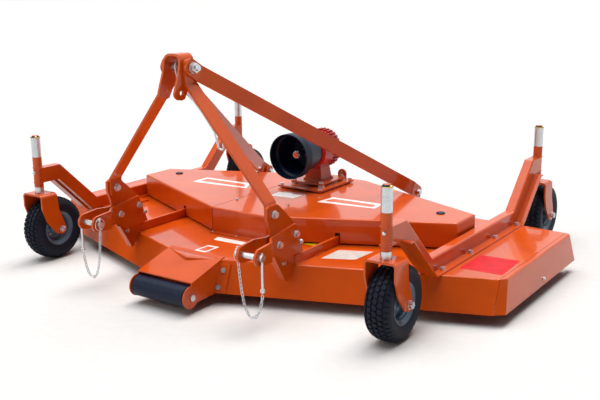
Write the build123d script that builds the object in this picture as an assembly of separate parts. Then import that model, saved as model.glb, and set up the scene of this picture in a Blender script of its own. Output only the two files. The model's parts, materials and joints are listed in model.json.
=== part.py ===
"""Rear-mounted brush mower with a V-fronted deck: an A-frame hitch, a belt cover over three spindles,
a gearbox on a raised plate, two side beams that carry four caster wheels, and an anti-scalp roller.

Millimetres. X runs across the machine, -Y is the tractor side, Z is up. The origin lies on the ground,
midway between the four caster posts.
"""
import math
import os

from build123d import *

# ---- driving dimensions ----------------------------------------------------------------------
POST_X = 908.0
POST_Y = 737.0
TYRE_R = 145.0
TYRE_W = 106.0
TRAIL = 62.0
FORK_TOP = 321.0
SPINDLE_R = 12.7

DECK_TOP = 177.0
DECK_BOTTOM = 47.0
DECK_T = 5.0
APEX_Y = -760.0
SWEEP = 0.369
SKIRT_LEAN = 48.0
DECK_X = 1166.0
DECK_REAR = 430.0
DECK_REAR_CORNER = 412.0

COVER_TOP = 290.0
COVER_BASE = 184.0
COVER_T = 3.0
COVER_NOSE_X = 148.0
COVER_SIDE_X = 875.0
COVER_SEAM_X = -148.0
COVER_SEAM_HALF = 1.5
COVER_OUTLINE = [(148, -415), (875, -78), (875, 100), (148, 417)]

BEAM_IN_X = 885.0
BEAM_OUT_X = 930.0
BEAM_FLANGE_X = 967.0
BEAM_TOP = 240.0
PLATE_T = 6.0
ARM_LOW = 370.0
ARM_HIGH = 438.0
TUBE_R = 21.0

SPINDLES = {"left": (-746.0, 33.0), "centre": (0.0, -300.0), "right": (746.0, 33.0)}
BLADE_R = 390.0
BLADE_Z = 84.0
BELT_Z = 240.0
PULLEY_R = 70.0
DRIVE_R = 91.0
IDLER_R = 45.0
IDLER_XY = (190.0, 205.0)

DRIVE_Y = 215.0
INPUT_Z = 468.0
INPUT_R = 17.5
OUTPUT_R = 15.0
STUB_END_Y = 22.0

HITCH_X = 421.0
PIN_Y = -877.5
PIN_Z = 283.0
PIN_R = 11.0
CLEVIS_GAP = 70.0
CLEVIS_T = 10.0
BASE_T = 12.0
LEG_BOLT_YZ = (-734.0, 409.0)
MAST_BOLT_YZ = (-755.0, 940.0)
BRACE_BOLT_YZ = (401.0, 271.0)
BAR_W = 65.0
BAR_T = 10.0
BAR_END_R = 26.0
LINK_HOLE_YZ = (-797.0, 846.0)
LINK_HOLE_R = 10.0
RAIL_X = (419.0, 432.0)
RAIL_TOP = 217.0

ROLLER_R = 43.0
ROLLER_HALF = 136.0
ROLLER_Z = 72.0
BRACKET_X = 139.0
BRACKET_TIP = 45.0
FLANGE_OUT = 5.8
ROLLER_Y = -(POST_Y + TRAIL + TYRE_R - BRACKET_TIP)

FIT = 0.05
GAP = 0.3

nodes = {}


# ---- small builders --------------------------------------------------------------------------
def block(x0, x1, y0, y1, z0, z1):
    """A box between two corners."""
    size = Box(abs(x1 - x0), abs(y1 - y0), abs(z1 - z0))
    return Pos((x0 + x1) / 2, (y0 + y1) / 2, (z0 + z1) / 2) * size


def prism(points, axis, low, high):
    """A polygon drawn across one axis and extruded along it from low to high."""
    place = {"x": lambda a, b: (low, a, b), "y": lambda a, b: (a, low, b), "z": lambda a, b: (a, b, low)}
    along = {"x": (1, 0, 0), "y": (0, 1, 0), "z": (0, 0, 1)}
    outline = Wire.make_polygon([place[axis](*p) for p in points], close=True)
    return extrude(Face(outline), amount=high - low, dir=along[axis])


def rod(start, end, radius):
    """A round bar between two points."""
    a = Vector(*start)
    d = Vector(*end) - a
    return Part() + Solid.make_cylinder(radius, d.length, Plane(origin=a, z_dir=d))


def ring(start, end, outer, inner):
    """A round tube between two points."""
    return rod(start, end, outer) - rod(start, end, inner)


def hexagon(start, end, across):
    """A hexagonal prism between two points, as a bolt head or a nut."""
    a = Vector(*start)
    d = Vector(*end) - a
    face = Plane(origin=a, z_dir=d) * RegularPolygon(across / 2, 6, major_radius=False)
    return extrude(face, amount=d.length)


def bolt_head(point, direction, across=19.0, washer=1.35):
    """A hex head on its washer, standing on a surface at a point."""
    p = Vector(*point)
    d = Vector(*direction)
    washer_t = across * 0.13
    top = p + d * washer_t
    disc = rod(tuple(p), tuple(top), across * washer / 2)
    head = hexagon(tuple(top), tuple(top + d * (across * 0.42)), across)
    return disc + head


def turned(profile, origin, direction, across):
    """A profile of (radius, distance) points turned round an axis."""
    plane = Plane(origin=origin, x_dir=across, z_dir=Vector(*across).cross(Vector(*direction)))
    face = plane * make_face(Polyline(*[(r, s) for r, s in profile], close=True))
    return revolve(face, Axis(origin, direction))


def sheet_profile(points, thickness, bend):
    """The section of a bent sheet: a centre line given thickness, with rounded bends."""
    half = thickness / 2
    sides = []
    for sign in (1, -1):
        side = []
        for i, p in enumerate(points):
            before = Vector(*points[max(i - 1, 0)])
            here = Vector(*p)
            after = Vector(*points[min(i + 1, len(points) - 1)])
            into = (here - before).normalized() if i else (after - here).normalized()
            out = (after - here).normalized() if i < len(points) - 1 else into
            normal_in = Vector(-into.Y, into.X)
            normal_out = Vector(-out.Y, out.X)
            mitre = (normal_in + normal_out) * (1 / (1 + normal_in.dot(normal_out)))
            side.append(here + mitre * half * sign)
        sides.append(side)
    radii = []
    for i in range(1, len(points) - 1):
        a = Vector(*points[i]) - Vector(*points[i - 1])
        b = Vector(*points[i + 1]) - Vector(*points[i])
        left_turn = a.X * b.Y - a.Y * b.X > 0
        radii.append((bend, bend + thickness) if left_turn else (bend + thickness, bend))
    one = FilletPolyline(*sides[0], radius=[r[0] for r in radii]) if radii else Line(*sides[0])
    two = FilletPolyline(*sides[1], radius=[r[1] for r in radii]) if radii else Line(*sides[1])
    ends = [Line(sides[0][0], sides[1][0]), Line(sides[0][-1], sides[1][-1])]
    return make_face([*one.edges(), *two.edges(), *ends])


def bent_bar(points, thickness, width, bend, plane):
    """A bent flat bar: its centre line lies in the plane, its width stands across it."""
    face = plane * sheet_profile(points, thickness, bend)
    return extrude(face, amount=width / 2, both=True)


def round_ended(bar, low, high, plane):
    """A flat bar's ends rounded, seen square to its width; the plane's x runs along the bar."""
    middle = Pos((low + high) / 2, 0, 0)
    return bar & extrude(plane * middle * RectangleRounded(high - low, BAR_W, BAR_END_R), amount=600)


def mirrored(shape):
    """The same piece on the other side of the machine."""
    return mirror(shape, about=Plane.YZ)


def keep(name, *shapes):
    """Store one node, made of one or more separate solids."""
    solids = [s for shape in shapes for s in shape.solids()]
    nodes[name] = solids[0] if len(solids) == 1 else Compound(children=solids)


# ---- deck ------------------------------------------------------------------------------------
def front_y(x, z):
    """The skirt's outer face: a V in plan that leans forward towards its foot."""
    return APEX_Y + SWEEP * abs(x) - SKIRT_LEAN * (DECK_TOP - z) / (DECK_TOP - DECK_BOTTOM)


def deck_block(inset, z_low, z_high):
    """The deck's outer form, or the hollow inside it, as a solid."""
    slope = inset / math.cos(math.atan(SWEEP)) * 1.05
    sections = []
    for z in (z_low, z_high):
        side = DECK_X - inset
        half = [(0, front_y(0, z) + slope), (side, front_y(side, z) + slope),
                (side, DECK_REAR_CORNER - inset), (970, DECK_REAR - inset)]
        outline = half + [(-x, y) for x, y in reversed(half[1:])]
        sections.append(Face(Wire.make_polygon([(x, y, z) for x, y in outline], close=True)))
    return loft(sections, ruled=True)


def front_fold(solid, z, radius):
    """Round the fold between the deck's top and its front skirt."""
    fold = [e for e in solid.edges()
            if abs(e.center().Z - z) < 0.1 and e.center().Y < -500 and e.length > 800]
    return fillet(fold, radius)


def make_deck():
    outer = front_fold(deck_block(0, DECK_BOTTOM, DECK_TOP), DECK_TOP, 8)
    hollow = front_fold(deck_block(DECK_T, DECK_BOTTOM - 1, DECK_TOP - DECK_T), DECK_TOP - DECK_T, 3)
    discharge = block(-DECK_X + 90, DECK_X - 90, DECK_REAR - 60, DECK_REAR + 5, 0, 128)
    shell = outer - hollow - discharge
    for x, y in SPINDLES.values():
        shell -= rod((x, y, 150), (x, y, 200), 41)
    keep("deck_shell", shell)


END_T = 4.0
END_SEAM_X = DECK_X + 1.5


def end_block(inset, z_low, z_high, seam_x):
    """The outer form of an end skirt: it leans out, with a cut corner at each end."""
    sections = []
    for z in (z_low, z_high):
        drop = (DECK_TOP - z) / (DECK_TOP - DECK_BOTTOM)
        out_x = 1188 + 17 * drop - inset
        nose = front_y(DECK_X, z) + inset
        tail = DECK_REAR_CORNER + 44 * drop - inset
        outline = [(seam_x, nose), (END_SEAM_X + 4 - inset * 0.4, nose + 1), (out_x, nose + 26),
                   (out_x, tail - 8), (out_x - 8, tail), (seam_x, tail)]
        sections.append(Face(Wire.make_polygon([(x, y, z) for x, y in outline], close=True)))
    return loft(sections, ruled=True)


def make_end_skirts():
    outer = end_block(0, 50, DECK_TOP, END_SEAM_X)
    bend = [e for e in outer.edges() if abs(e.center().Z - DECK_TOP) < 0.1 and e.center().X > 1180
            and e.length > 300]
    outer = fillet(bend, 9)
    panel = outer - end_block(END_T, 49, DECK_TOP - END_T, END_SEAM_X - 5)
    keep("right_end_skirt", panel)
    keep("left_end_skirt", mirrored(panel))


# ---- side beams ------------------------------------------------------------------------------
KNEE_Y = 622.0
FOOT_Y = 412.0
KNEE_LOW_Y = 638.0
FOOT_LOW_Y = 443.0


def beam_side(y_end, z_shift_low):
    """One side view of the beam from one post to the other."""
    low = DECK_TOP + z_shift_low
    upper = [(-y_end, ARM_HIGH), (-KNEE_Y, ARM_HIGH), (-FOOT_Y, BEAM_TOP)]
    lower = [(FOOT_LOW_Y, low), (KNEE_LOW_Y, ARM_LOW), (y_end, ARM_LOW)]
    return (upper + [(-y, z) for y, z in reversed(upper)]
            + [(y, z) for y, z in reversed(lower)] + [(-y, z) for y, z in lower])


def make_beams():
    reach = POST_Y - 2
    body = prism(beam_side(reach, PLATE_T), "x", BEAM_IN_X, BEAM_OUT_X)
    top_edges = [e for e in body.edges().filter_by(GeomType.LINE)
                 if abs(e.tangent_at(0.5).X) < 0.1 and e.center().Z > BEAM_TOP - 1 and e.length > 60
                 and e.center().Z > 0.943 * (abs(e.center().Y) - FOOT_Y) + BEAM_TOP - 8]
    body = fillet(top_edges, 7)
    inner_side = [(-KNEE_Y - 40, ARM_HIGH - PLATE_T), (-KNEE_Y - 2, ARM_HIGH - PLATE_T),
                  (-FOOT_Y - 2, BEAM_TOP - PLATE_T)]
    inner_low = [(FOOT_LOW_Y + 2, DECK_TOP + 2 * PLATE_T), (KNEE_LOW_Y + 2, ARM_LOW + PLATE_T),
                 (KNEE_Y + 40, ARM_LOW + PLATE_T)]
    hollow_side = (inner_side + [(-y, z) for y, z in reversed(inner_side)]
                   + [(y, z) for y, z in reversed(inner_low)] + [(-y, z) for y, z in inner_low])
    body -= prism(hollow_side, "x", BEAM_IN_X + PLATE_T, BEAM_OUT_X - PLATE_T)
    body -= block(BEAM_IN_X + PLATE_T, BEAM_OUT_X - PLATE_T, -425, 425, DECK_TOP, DECK_TOP + 3 * PLATE_T)
    for end in (-1, 1):
        ramp = [(end * (FOOT_LOW_Y - 60), DECK_TOP + PLATE_T / 2),
                (end * (FOOT_LOW_Y + 1), DECK_TOP + PLATE_T / 2),
                (end * (KNEE_LOW_Y + 2), ARM_LOW - PLATE_T / 2),
                (end * (KNEE_LOW_Y + 24), ARM_LOW - PLATE_T / 2)]
        flange = sheet_profile(ramp, PLATE_T, 12)
        flange = Plane(origin=(BEAM_OUT_X - 8, 0, 0), x_dir=(0, 1, 0), z_dir=(1, 0, 0)) * flange
        body += extrude(flange, amount=BEAM_FLANGE_X - BEAM_OUT_X + 8, dir=(1, 0, 0))
        body += block(BEAM_IN_X - 93, BEAM_IN_X + 2, end * 150, end * 325, DECK_TOP, DECK_TOP + PLATE_T)
        post = rod((POST_X, end * POST_Y, 350), (POST_X, end * POST_Y, 489), TUBE_R)
        body += post
    body += block(BEAM_OUT_X - 8, BEAM_FLANGE_X, -FOOT_LOW_Y + 40, FOOT_LOW_Y - 40, DECK_TOP,
                  DECK_TOP + PLATE_T)
    body += block(BEAM_IN_X - 20, BEAM_IN_X + 5, -380, 380, DECK_TOP, DECK_TOP + PLATE_T)
    for end in (-1, 1):
        body -= rod((POST_X, end * POST_Y, 340), (POST_X, end * POST_Y, 500), SPINDLE_R + FIT + 0.05)
    keep("right_wheel_beam", body)
    keep("left_wheel_beam", mirrored(body))


# ---- casters ---------------------------------------------------------------------------------
def make_caster(side, end, sx, sy):
    x = sx * POST_X
    y = sy * POST_Y
    axle = y + TRAIL
    leg_mid = 60.5
    saddle_points = [(-leg_mid, 90), (-leg_mid, FORK_TOP - 4), (leg_mid, FORK_TOP - 4), (leg_mid, 90)]
    saddle = bent_bar(saddle_points, 8, 400, 9, Plane(origin=(x, y, 0), x_dir=(1, 0, 0), z_dir=(0, -1, 0)))
    outline = [(-43, 330), (-43, 258), (-20, 192), (34, 126), (TRAIL, TYRE_R), (85, 154), (52, 240), (44, 330)]
    side_view = prism([(y + a, b) for a, b in outline], "x", x - 80, x + 80)
    side_view += rod((x - 80, axle, TYRE_R), (x + 80, axle, TYRE_R), 25)
    fork = saddle & side_view
    fork -= rod((x - 80, axle, TYRE_R), (x + 80, axle, TYRE_R), 8 + FIT)
    fork += rod((x, y, FORK_TOP - 5), (x, y, 577), SPINDLE_R)
    bolt = rod((x - 66, axle, TYRE_R), (x + 76, axle, TYRE_R), 8)
    bolt += hexagon((x - 64.6, axle, TYRE_R), (x - 75, axle, TYRE_R), 24)
    bolt += ring((x + 64.6, axle, TYRE_R), (x + 67, axle, TYRE_R), 15, 7)
    bolt += hexagon((x + 67, axle, TYRE_R), (x + 78, axle, TYRE_R), 24)
    cap = rod((x, y, 577.5), (x, y, 588), 15)
    cap = fillet(cap.edges().sort_by(Axis.Z)[-1], 4)
    keep(f"{end}_{side}_fork", fork, bolt, cap)

    centre = (x, axle, TYRE_R)
    rim_profile = [(8 + FIT, -55), (17, -55), (17, -14), (52, -6), (60, -10), (62, -38), (77, -46),
                   (79, -42), (66, -33), (64, 0), (66, 33), (79, 42), (77, 46), (62, 38), (60, -2),
                   (52, 0), (17, -6), (17, 55), (8 + FIT, 55)]
    keep(f"{end}_{side}_rim", turned(rim_profile, centre, (1, 0, 0), (0, 0, 1)))
    half = TYRE_W / 2
    shoulder = [(67, -32), (81, -41.5), (100, -half + 2), (120, -half), (135, -half + 6), (142, -28),
                (TYRE_R, 0)]
    tyre_profile = shoulder + [(r, -s) for r, s in reversed(shoulder[:-1])]
    keep(f"{end}_{side}_tyre", turned(tyre_profile, centre, (1, 0, 0), (0, 0, 1)))


def make_caster_spacers():
    rings = []
    for sx in (-1, 1):
        for sy in (-1, 1):
            x = sx * POST_X
            y = sy * POST_Y
            for low, high in ((FORK_TOP + GAP, 349.8), (489.2, 532.8), (533.2, 544), (544.4, 577)):
                rings.append(ring((x, y, low), (x, y, high), TUBE_R, SPINDLE_R + 0.15))
    keep("caster_spacers", *rings)


# ---- belt cover ------------------------------------------------------------------------------
STAND_X = 123.0
STAND_Y = (50.0, 344.0)


def cover_block(inset, z_low, z_high):
    half = COVER_OUTLINE
    shrunk = [(half[0][0], half[0][1] + inset * 1.1), (half[1][0] - inset, half[1][1] + inset * 0.35),
              (half[2][0] - inset, half[2][1] - inset * 0.35), (half[3][0], half[3][1] - inset * 1.1)]
    outline = shrunk + [(-x, y) for x, y in reversed(shrunk)]
    return prism(outline, "z", z_low, z_high)


def make_covers():
    outer = cover_block(0, COVER_BASE, COVER_TOP)
    outer = fillet([e for e in outer.edges() if abs(e.center().Z - COVER_TOP) < 0.1], 8)
    hollow = cover_block(COVER_T, COVER_BASE - 1, COVER_TOP - COVER_T)
    hollow = fillet([e for e in hollow.edges() if abs(e.center().Z - COVER_TOP + COVER_T) < 0.1], 5)
    cover = outer - hollow
    for sx in (-1, 1):
        cover -= block(sx * (RAIL_X[0] - 3), sx * (RAIL_X[1] + 4), -330, -230, DECK_TOP, 229)
    cover -= block(-STAND_X + 6, STAND_X - 6, STAND_Y[0] + 6, STAND_Y[1] - 6, 270, 300)
    for sx in (-1, 1):
        x, y = SPINDLES["right"]
        cover -= rod((sx * x, y, 270), (sx * x, y, 300), 15.2)
    flange = block(COVER_SEAM_X + COVER_SEAM_HALF, 175, -437, -412, DECK_TOP + 0.4, DECK_TOP + 4)
    flange += block(COVER_SEAM_X + COVER_SEAM_HALF, 147.5, -415, -412, DECK_TOP + 0.4, COVER_BASE + 1)
    far = 1300
    keep("left_belt_cover", cover & block(-far, COVER_SEAM_X - COVER_SEAM_HALF, -far, far, 0, 400))
    right = cover & block(COVER_SEAM_X + COVER_SEAM_HALF, far, -far, far, 0, 400)
    keep("right_belt_cover", right + flange)
    plugs = []
    for sx in (-1, 1):
        x, y = SPINDLES["right"]
        stem = rod((sx * x, y, 284), (sx * x, y, COVER_TOP), 15)
        head = rod((sx * x, y, COVER_TOP), (sx * x, y, COVER_TOP + 5), 19)
        plugs.append(stem + fillet(head.edges().sort_by(Axis.Z)[-1], 3))
    keep("cover_plugs", *plugs)


# ---- gearbox and drive -----------------------------------------------------------------------
LOWER_PLATE = (296.0, 304.0)
UPPER_PLATE = (312.0, 320.0)


def make_gearbox():
    lower = block(-STAND_X, STAND_X, *STAND_Y, *LOWER_PLATE)
    lower -= rod((0, DRIVE_Y, 290), (0, DRIVE_Y, 310), 32)
    for sx in (-1, 1):
        for y in (75, 320):
            lower += block(sx * 85, sx * 111, y - 13, y + 13, DECK_TOP, LOWER_PLATE[0] + 1)
    lug = block(40, 85, 331, 341, LOWER_PLATE[1] - 1, 330) + rod((62.5, 331, 330), (62.5, 341, 330), 22.5)
    keep("gearbox_stand", lower + lug)

    upper = block(-90, 90, 112, 322, *UPPER_PLATE)
    upper = upper - rod((0, DRIVE_Y, 300), (0, DRIVE_Y, 330), 24)
    keep("gearbox_plate", upper)

    drum_profile = [(0, 300), (60, 300), (80, 292), (86, 280), (86, 150), (78, 136), (66, 134), (66, 121),
                    (0, 121)]
    axis_point = (0, 0, INPUT_Z)
    housing = turned(drum_profile, axis_point, (0, 1, 0), (0, 0, 1))
    fin_profile = [(60, 228), (95, 232), (95, 276), (82, 296), (60, 296)]
    disc = turned(fin_profile, axis_point, (0, 1, 0), (0, 0, 1))
    fins = 30
    for i in range(fins):
        angle = 360 * i / fins
        slab = Pos(0, 262, INPUT_Z) * Rot(0, angle, 0) * Pos(0, 0, 80) * Box(5, 90, 40)
        housing += disc & slab
    foot = block(-52, 52, DRIVE_Y - 52, DRIVE_Y + 52, UPPER_PLATE[1], UPPER_PLATE[1] + 8)
    faces = []
    for z, half in ((UPPER_PLATE[1] + 7, 47), (INPUT_Z - 60, 36)):
        square = [(-half, -half), (half, -half), (half, half), (-half, half)]
        faces.append(Face(Wire.make_polygon([(a, DRIVE_Y + b, z) for a, b in square], close=True)))
    housing += foot + loft(faces, ruled=True)
    housing += rod((0, 168, INPUT_Z + 70), (0, 168, INPUT_Z + 96), 13)
    housing += hexagon((0, 168, INPUT_Z + 96), (0, 168, INPUT_Z + 108), 24)
    cavity = [(0, 286), (72, 280), (74, 276), (74, 156), (70, 150), (0, 150)]
    housing -= turned(cavity, axis_point, (0, 1, 0), (0, 0, 1))
    housing -= rod((0, 110, INPUT_Z), (0, 294, INPUT_Z), INPUT_R + FIT)
    housing -= rod((0, DRIVE_Y, 310), (0, DRIVE_Y, 420), OUTPUT_R + FIT)
    housing -= rod((0, DRIVE_Y, 388), (0, DRIVE_Y, 430), 24)
    keep("gearbox_housing", housing)

    shaft = rod((0, STUB_END_Y + 8, INPUT_Z), (0, 293, INPUT_Z), INPUT_R)
    shaft += rod((0, STUB_END_Y, INPUT_Z), (0, STUB_END_Y + 9, INPUT_Z), INPUT_R - 2.5)
    for i in range(6):
        slot = Pos(0, STUB_END_Y + 31, INPUT_Z) * Rot(0, 60 * i, 0) * Pos(0, 0, INPUT_R) * Box(7, 66, 5)
        shaft -= slot
    keep("input_shaft", shaft)
    gear = [(INPUT_R + 0.01, 252), (52, 252), (60, 235.5), (42, 229.6), (36, 233), (INPUT_R + 0.01, 233)]
    keep("input_bevel_gear", turned(gear, axis_point, (0, 1, 0), (0, 0, 1)))
    out_axis = (0, DRIVE_Y, 0)
    keep("output_shaft", rod((0, DRIVE_Y, BELT_Z - 18), (0, DRIVE_Y, 424), OUTPUT_R - 2)
         + rod((0, DRIVE_Y, BELT_Z - 18), (0, DRIVE_Y, 392), OUTPUT_R))
    pinion = [(OUTPUT_R + 0.01, 393), (19, 393), (19.4, 407), (14, 423), (OUTPUT_R - 1.99, 423),
              (OUTPUT_R - 1.99, 392.2), (OUTPUT_R + 0.01, 392.2)]
    keep("output_bevel_pinion", turned(pinion, out_axis, (0, 0, 1), (1, 0, 0)))


def pulley(x, y, radius, bore):
    """A one-groove V pulley with a thin web and a hub."""
    z = BELT_Z
    web = radius * 0.72
    profile = [(bore, z - 14), (bore + 14, z - 14), (bore + 14, z - 3), (web, z - 3), (web, z - 11),
               (radius, z - 11), (radius, z - 8), (radius - 12, z - 3.5), (radius - 12, z + 3.5),
               (radius, z + 8), (radius, z + 11), (web, z + 11), (web, z + 3), (bore + 14, z + 3),
               (bore + 14, z + 14), (bore, z + 14)]
    return turned(profile, (x, y, 0), (0, 0, 1), (1, 0, 0))


def make_spindles():
    housings = []
    for name, (x, y) in SPINDLES.items():
        casting = rod((x, y, 132), (x, y, 222), 38)
        casting += rod((x, y, DECK_TOP), (x, y, DECK_TOP + 9), 74)
        for i in range(6):
            rib = block(20, 62, -3, 3, DECK_TOP + 5, 200)
            casting += Pos(x, y, 0) * Rot(0, 0, 60 * i) * rib
        casting -= rod((x, y, 120), (x, y, 230), OUTPUT_R + FIT)
        housings.append(casting)
        shaft = rod((x, y, BLADE_Z - 2), (x, y, 262), OUTPUT_R)
        shaft += ring((x, y, BLADE_Z + 7), (x, y, 131.5), 26, OUTPUT_R - 1)
        shaft += hexagon((x, y, BELT_Z + 15), (x, y, BELT_Z + 27), 42)
        shaft += rod((x, y, BLADE_Z - 6), (x, y, BLADE_Z - 0.2), 30)
        shaft += hexagon((x, y, BLADE_Z - 18), (x, y, BLADE_Z - 6), 36)
        keep(f"{name}_spindle", shaft)
        keep(f"{name}_spindle_pulley", pulley(x, y, PULLEY_R + 4, OUTPUT_R + 0.01))
        keep(f"{name}_blade", make_blade(x, y))
    keep("spindle_housings", *housings)
    keep("drive_pulley", pulley(0, DRIVE_Y, DRIVE_R + 4, OUTPUT_R + 0.01))


def make_blade(x, y):
    """A flat blade with ground cutting edges and upturned lift wings at its tips."""
    half = BLADE_R - 2
    bar = block(-half, half, -32, 32, BLADE_Z, BLADE_Z + 6.4)
    for sign in (-1, 1):
        bar += prism([(sign * 20, BLADE_Z + 5), (sign * 32, BLADE_Z + 5), (sign * 37, BLADE_Z + 24),
                      (sign * 31, BLADE_Z + 24)], "x", sign * 255, sign * (half - 6))
        bar -= prism([(-sign * 32.1, BLADE_Z - 1), (-sign * 32.1, BLADE_Z + 5), (-sign * 22, BLADE_Z + 6.5),
                      (-sign * 33, BLADE_Z + 8), (-sign * 34, BLADE_Z - 1)], "x", sign * 230, sign * half)
    bar -= rod((0, 0, BLADE_Z - 1), (0, 0, BLADE_Z + 8), OUTPUT_R + 0.01)
    return Pos(x, y, 0) * Rot(0, 0, 25) * bar


def tangent_points(a, ra, b, rb):
    """Touching points of the line that leaves circle a and meets circle b.

    A positive radius is passed anticlockwise, a negative one clockwise.
    """
    dx = b[0] - a[0]
    dy = b[1] - a[1]
    dist = math.hypot(dx, dy)
    angle = math.atan2(dy, dx) - math.acos((ra - rb) / dist)
    nx = math.cos(angle)
    ny = math.sin(angle)
    return (a[0] + ra * nx, a[1] + ra * ny), (b[0] + rb * nx, b[1] + rb * ny)


def belt_loop(offset):
    """The belt's path round the pulleys, as a closed wire, shifted outwards by an offset."""
    stops = [(SPINDLES["centre"], PULLEY_R + offset), (SPINDLES["right"], PULLEY_R + offset),
             (IDLER_XY, -(IDLER_R + 0.4 - offset)), ((0.0, DRIVE_Y), DRIVE_R + offset),
             ((-IDLER_XY[0], IDLER_XY[1]), -(IDLER_R + 0.4 - offset)),
             (SPINDLES["left"], PULLEY_R + offset)]
    touches = []
    for i, (centre, radius) in enumerate(stops):
        after, after_r = stops[(i + 1) % len(stops)]
        touches.append(tangent_points(centre, radius, after, after_r))
    edges = []
    for i, (centre, radius) in enumerate(stops):
        arrive = touches[i - 1][1]
        leave = touches[i][0]
        start = math.atan2(arrive[1] - centre[1], arrive[0] - centre[0])
        stop = math.atan2(leave[1] - centre[1], leave[0] - centre[0])
        turn = (stop - start) % (2 * math.pi)
        if radius < 0:
            turn -= 2 * math.pi
        middle = start + turn / 2
        size = abs(radius)
        through = (centre[0] + size * math.cos(middle), centre[1] + size * math.sin(middle))
        edges.append(ThreePointArc(arrive, through, leave))
        edges.append(Line(leave, touches[i][1]))
    return edges


def make_belt():
    outer = extrude(Pos(0, 0, BELT_Z - 3) * make_face(belt_loop(0)), amount=6)
    inner = extrude(Pos(0, 0, BELT_Z - 4) * make_face(belt_loop(-7)), amount=8)
    keep("drive_belt", outer - inner)
    for side, sx in (("left", -1), ("right", 1)):
        x = sx * IDLER_XY[0]
        y = IDLER_XY[1]
        z = BELT_Z
        profile = [(8 + FIT, z - 12), (18, z - 12), (18, z - 9), (IDLER_R + 5, z - 9),
                   (IDLER_R + 5, z - 6), (IDLER_R, z - 6), (IDLER_R, z + 6), (IDLER_R + 5, z + 6),
                   (IDLER_R + 5, z + 9), (18, z + 9), (18, z + 12), (8 + FIT, z + 12)]
        keep(f"{side}_idler_pulley", turned(profile, (x, y, 0), (0, 0, 1), (1, 0, 0)))


def make_guard():
    """The moulded cup round the input shaft: a deep front rim, a step, and a tapered throat."""
    wall = 4.0
    outside = [(106, -38), (106, 8), (97, 16), (82, 108), (80, 120)]
    inside = [(28, 120), (28, 120 - wall), (78 - wall, 120 - wall), (93, 14), (102, 6), (102, -38)]
    guard = turned(outside + inside, (0, 0, INPUT_Z), (0, 1, 0), (0, 0, 1))
    keep("pto_guard", guard)


# ---- hitch -----------------------------------------------------------------------------------
BASE_OUTLINE = [(-776, 438), (-760, 446), (-716, 446), (-700, 437), (-597, 346), (-560, 226), (-592, 217),
                (-592, 190), (-602, 176), (-638, 126), (-654, 120), (-668, 128), (-740, 248), (-752, 330),
                (-776, 398)]
CLEVIS_OUTLINE = [(-606, 347), (-558, 224), (-640, 222), (-690, 214), (-742, 248), (-822, 246), (-876, 250),
                  (-896, 257), (-905, 272), (-906, 288), (-896, 308), (-882, 315), (-762, 326)]
HITCH_BOLTS = [(-606, 305), (-718, 288), (-676, 203), (-574, 267)]


def make_hitch():
    inner_face = HITCH_X - BASE_T / 2
    outer_face = HITCH_X + BASE_T / 2
    base = prism(BASE_OUTLINE, "x", inner_face, outer_face)
    fence = deck_block(0, DECK_BOTTOM - 1, DECK_TOP).moved(Location((0, -0.5, 0)))
    base -= fence
    base -= rod((400, *LEG_BOLT_YZ), (440, *LEG_BOLT_YZ), 9)
    rail = block(*RAIL_X, -600, 258, DECK_TOP + 0.2, RAIL_TOP)
    rail_edges = [e for e in rail.edges() if e.length > 800]
    rail = fillet(rail_edges, 4)
    front_strip = prism([(-664, 131), (-668, 128), (-733, 236), (-728, 238)], "x", inner_face - 16,
                        inner_face + 1)
    bracket = base + rail + (front_strip - fence)
    keep("right_hitch_bracket", bracket)
    keep("left_hitch_bracket", mirrored(bracket))

    plates = []
    for side in (-1, 1):
        flat = HITCH_X + side * (BASE_T / 2 + CLEVIS_T / 2)
        wide = HITCH_X + side * (CLEVIS_GAP / 2 + CLEVIS_T / 2)
        path = [(flat, -540), (flat, -764), (wide, -802), (wide, -930)]
        if side < 0:
            path = path[::-1]
        plan = sheet_profile(path, CLEVIS_T, 6)
        plate = extrude(Pos(0, 0, 150) * plan, amount=250)
        plate &= prism(CLEVIS_OUTLINE, "x", HITCH_X - 90, HITCH_X + 90)
        plate -= rod((HITCH_X - 90, PIN_Y, PIN_Z), (HITCH_X + 90, PIN_Y, PIN_Z), PIN_R + FIT)
        plates.append(plate)
    keep("hitch_clevis_plates", *plates, *[mirrored(p) for p in plates])


def make_pins():
    """Hitch pins with a drop handle at the outer end and a lynch pin at the inner end."""
    outer = HITCH_X + CLEVIS_GAP / 2 + CLEVIS_T
    inner = HITCH_X - CLEVIS_GAP / 2 - CLEVIS_T
    collar_x = outer + 0.4
    pin = rod((inner - 22, PIN_Y, PIN_Z), (outer + 4, PIN_Y, PIN_Z), PIN_R)
    pin += rod((collar_x, PIN_Y, PIN_Z), (outer + 16, PIN_Y, PIN_Z), 14)
    pin += rod((outer + 10, PIN_Y, PIN_Z + 20), (outer + 10, PIN_Y, PIN_Z - 118), 5.5)
    pin += rod((outer + 10, PIN_Y - 4, PIN_Z - 124), (outer + 10, PIN_Y + 4, PIN_Z - 124), 9)
    pin -= rod((outer + 10, PIN_Y - 9, PIN_Z - 125), (outer + 10, PIN_Y + 9, PIN_Z - 125), 4.2)
    pin -= rod((inner - 11, PIN_Y, PIN_Z - 20), (inner - 11, PIN_Y, PIN_Z + 20), 4.6)
    keep("hitch_pins", pin, mirrored(pin))


LINK_WIRE = 1.7
LINK_PITCH = 15.0
LINK_HALF_W = 4.6


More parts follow.
